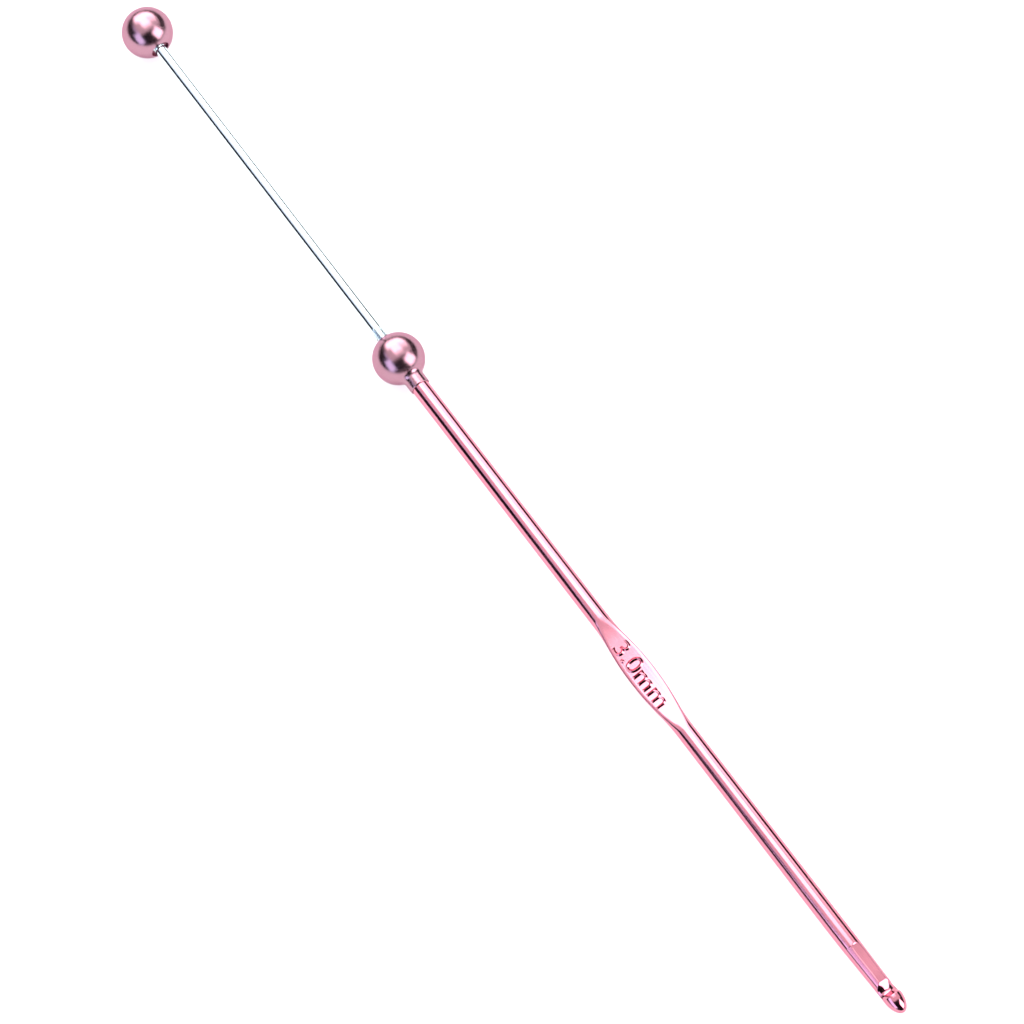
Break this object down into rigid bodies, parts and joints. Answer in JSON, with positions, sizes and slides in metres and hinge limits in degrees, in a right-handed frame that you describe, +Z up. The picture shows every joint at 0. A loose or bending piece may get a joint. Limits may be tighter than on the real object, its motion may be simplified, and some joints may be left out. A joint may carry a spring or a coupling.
{
  "type": "crochet hook",
  "caption": "Beadable crochet hook: pressed thumb rest and scooped mouth on a slim shaft, with a steel bead rod held between two balls, the end ball unscrewing.",
  "frame": {"origin": "on the table under the middle of the object's length, with both balls touching the table", "axes": "+X along the shaft to the hook's tip, +Z up from the table; the thumb rest and the mouth of the hook face about +Z, the rest leaning 12 degrees to -Y and the mouth 10 degrees to +Y"},
  "size_m": [0.1972, 0.008, 0.008],
  "materials": {
    "anodised_shaft": "gloss",
    "plated_ball": "satin",
    "polished_rod": "polished"
  },
  "bodies": {
    "hook_and_rod": {"hook_shaft": "anodised_shaft", "collar_ball": "plated_ball", "bead_rod": "polished_rod"},
    "screw_ball": {"end_ball": "plated_ball"}
  },
  "joints": [
    {"name": "end_ball_off", "type": "slide", "parent": "hook_and_rod", "child": "screw_ball", "axis": [-1, 0, 0], "range_m": [0, 0.03]}
  ]
}
